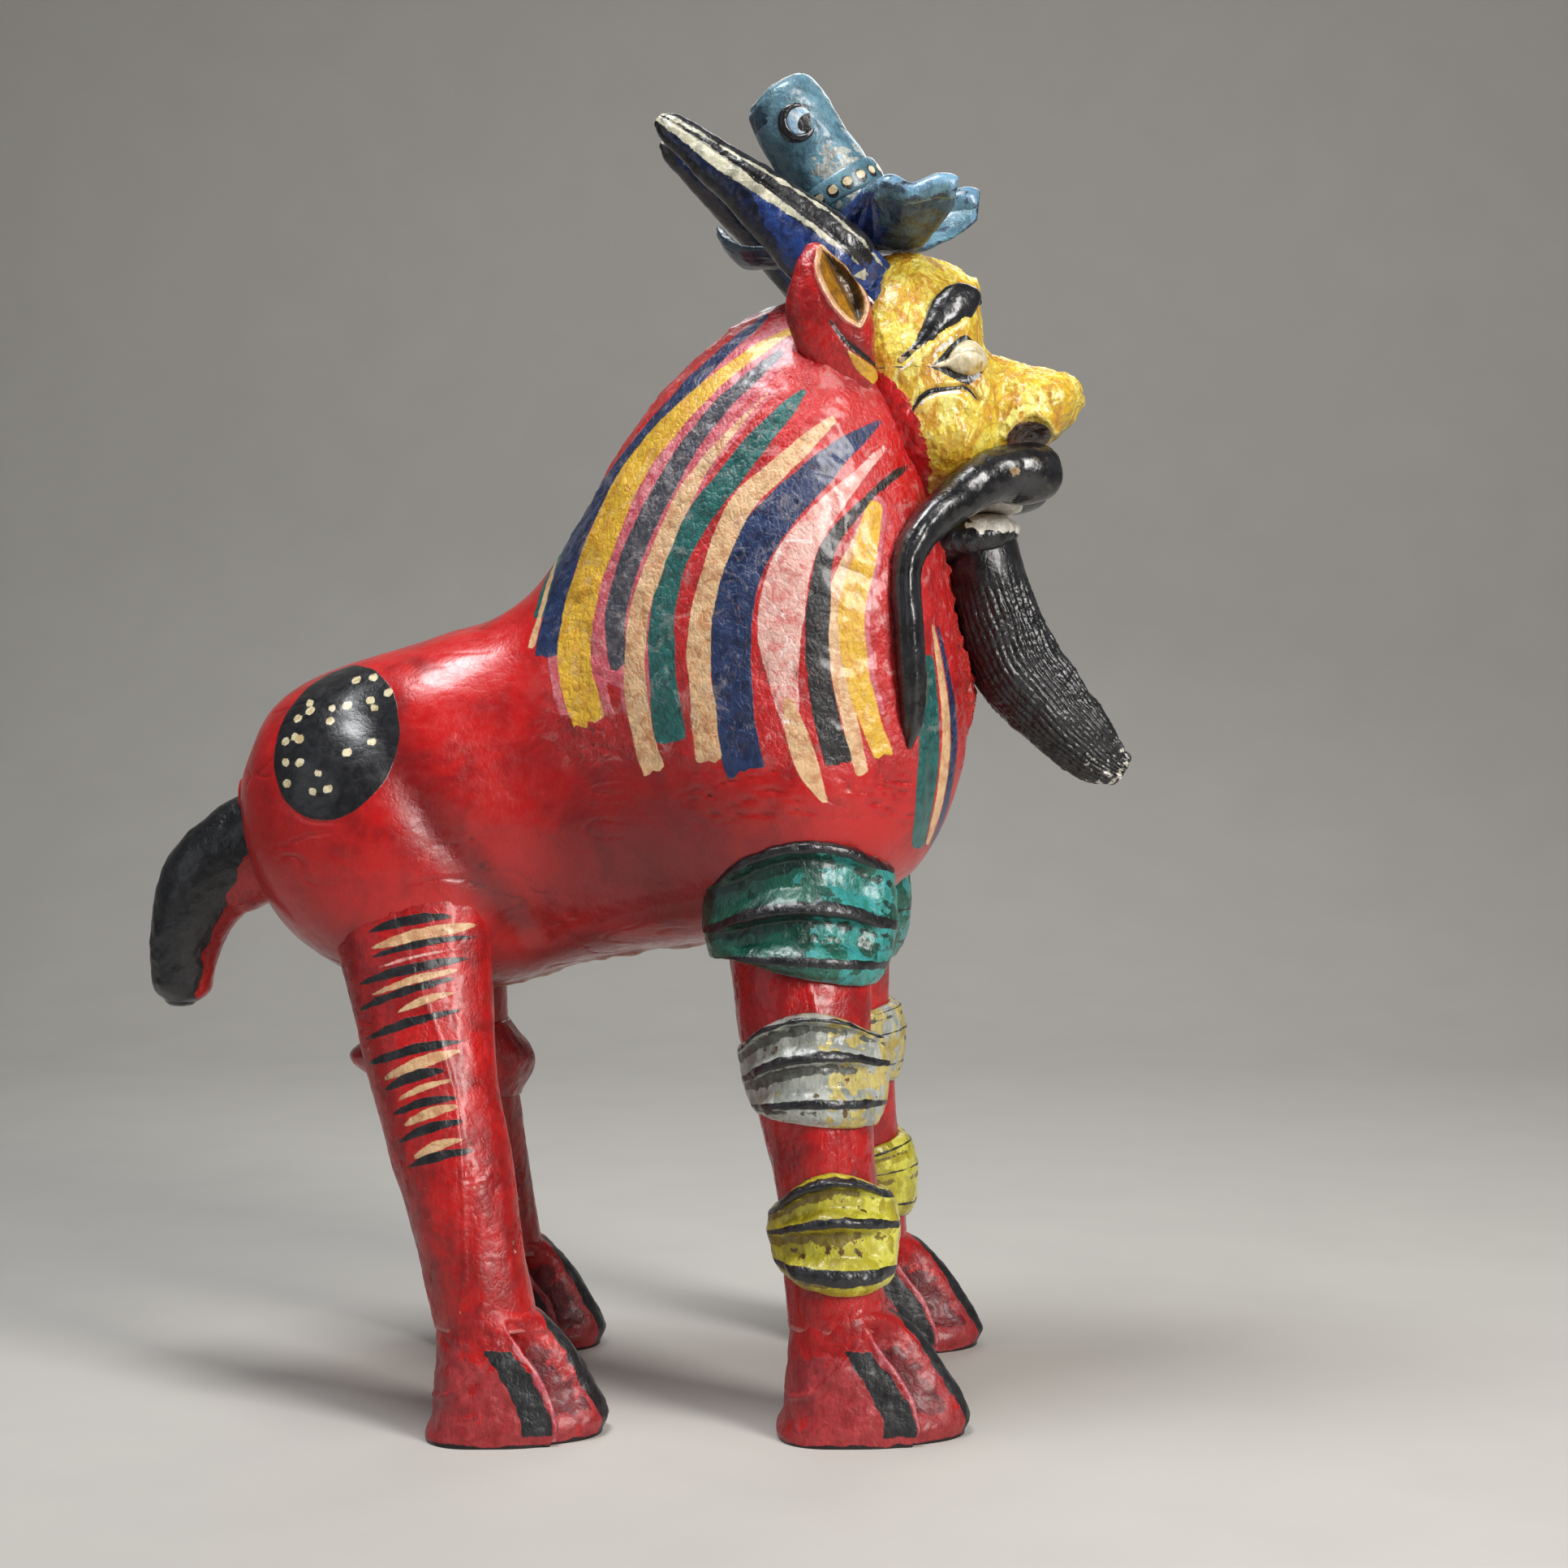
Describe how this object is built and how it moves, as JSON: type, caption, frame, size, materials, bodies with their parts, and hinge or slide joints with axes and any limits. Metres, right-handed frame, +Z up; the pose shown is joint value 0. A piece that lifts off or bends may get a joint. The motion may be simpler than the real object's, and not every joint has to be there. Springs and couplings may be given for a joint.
{
  "type": "alebrije figure",
  "caption": "Papier-mache alebrije: a striped horned beast on four banded legs, with a beard, a long moustache and a small hat.",
  "frame": {"origin": "on the surface it stands on, under the middle of its overall box", "axes": "+X towards the nose, +Y towards the beast's own left, +Z up"},
  "size_m": [0.3977, 0.204, 0.5287],
  "materials": {
    "scarlet_paint": "varnished scarlet over papier-mache, satin to gloss",
    "black_paint": "varnished black over papier-mache, gloss",
    "yellow_paint": "varnished yellow over papier-mache, satin",
    "teal_paint": "varnished teal over papier-mache, satin",
    "cream_paint": "varnished cream over papier-mache, satin",
    "blue_paint": "varnished grey-blue over papier-mache, satin",
    "white_paint": "varnished off-white over papier-mache, satin",
    "raw_paper": "bare crumpled paper, matte",
    "cane": "bare cane, matte",
    "wire": "drawn wire, satin"
  },
  "bodies": {
    "root": {"beard": "black_paint", "body_shell_left": "scarlet_paint", "body_shell_right": "scarlet_paint", "brow_left": "black_paint", "brow_right": "black_paint", "cream_band_left": "cream_paint", "cream_band_right": "cream_paint", "ear_left": "scarlet_paint", "ear_right": "scarlet_paint", "eye_left": "white_paint", "eye_right": "white_paint", "face": "yellow_paint", "front_leg_cane_left": "cane", "front_leg_cane_right": "cane", "front_leg_left": "scarlet_paint", "front_leg_right": "scarlet_paint", "front_paw_left": "scarlet_paint", "front_paw_right": "scarlet_paint", "hat_band": "black_paint", "hat_brim": "blue_paint", "hat_crescent_left": "black_paint", "hat_crescent_right": "black_paint", "hat_crown": "blue_paint", "hind_knee_band": "scarlet_paint", "hind_leg_cane_left": "cane", "hind_leg_cane_right": "cane", "hind_leg_left": "scarlet_paint", "hind_leg_right": "scarlet_paint", "hind_paw_left": "scarlet_paint", "hind_paw_right": "scarlet_paint", "horn_left": "black_paint", "horn_right": "black_paint", "horn_wire_left": "wire", "horn_wire_right": "wire", "lower_jaw": "black_paint", "moustache_left": "black_paint", "moustache_right": "black_paint", "paper_core": "raw_paper", "spine_wire": "wire", "tail": "black_paint", "teal_band_left": "teal_paint", "teal_band_right": "teal_paint", "upper_teeth": "white_paint", "yellow_band_left": "yellow_paint", "yellow_band_right": "yellow_paint"}
  },
  "joints": []
}
